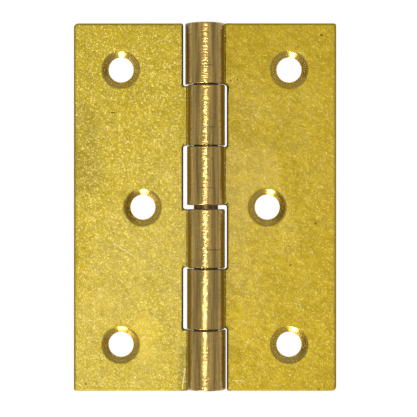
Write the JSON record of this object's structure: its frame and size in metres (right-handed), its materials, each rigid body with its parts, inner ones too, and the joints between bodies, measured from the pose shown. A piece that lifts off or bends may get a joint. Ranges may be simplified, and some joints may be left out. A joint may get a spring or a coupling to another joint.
{
  "type": "butt hinge",
  "caption": "Butt hinge pressed from brass sheet: flat rectangular leaves with rolled knuckles on a plain pin and countersunk screw holes, laid open.",
  "frame": {"origin": "under the middle of the pin, at the underside of the knuckles that the open hinge lies on", "axes": "+X across the leaves to the right leaf, +Y along the pin towards the right leaf's end knuckle, +Z out of the countersunk faces"},
  "size_m": [0.0715, 0.1, 0.0103],
  "materials": {
    "left_leaf": "yellow brass, lightly pitted and speckled, with fine scratches",
    "right_leaf": "yellow brass, satin and smoother than the other leaf, with a few pits",
    "pin": "plain drawn, dulled"
  },
  "bodies": {
    "left": {"left_leaf": "left_leaf", "pin": "pin"},
    "right": {"right_leaf": "right_leaf"}
  },
  "joints": [
    {"name": "leaf_swing", "type": "hinge", "parent": "left", "child": "right", "pos_m": [0, 0, 0.00515], "axis": [0, -1, 0], "range_deg": [-125, 180]}
  ]
}
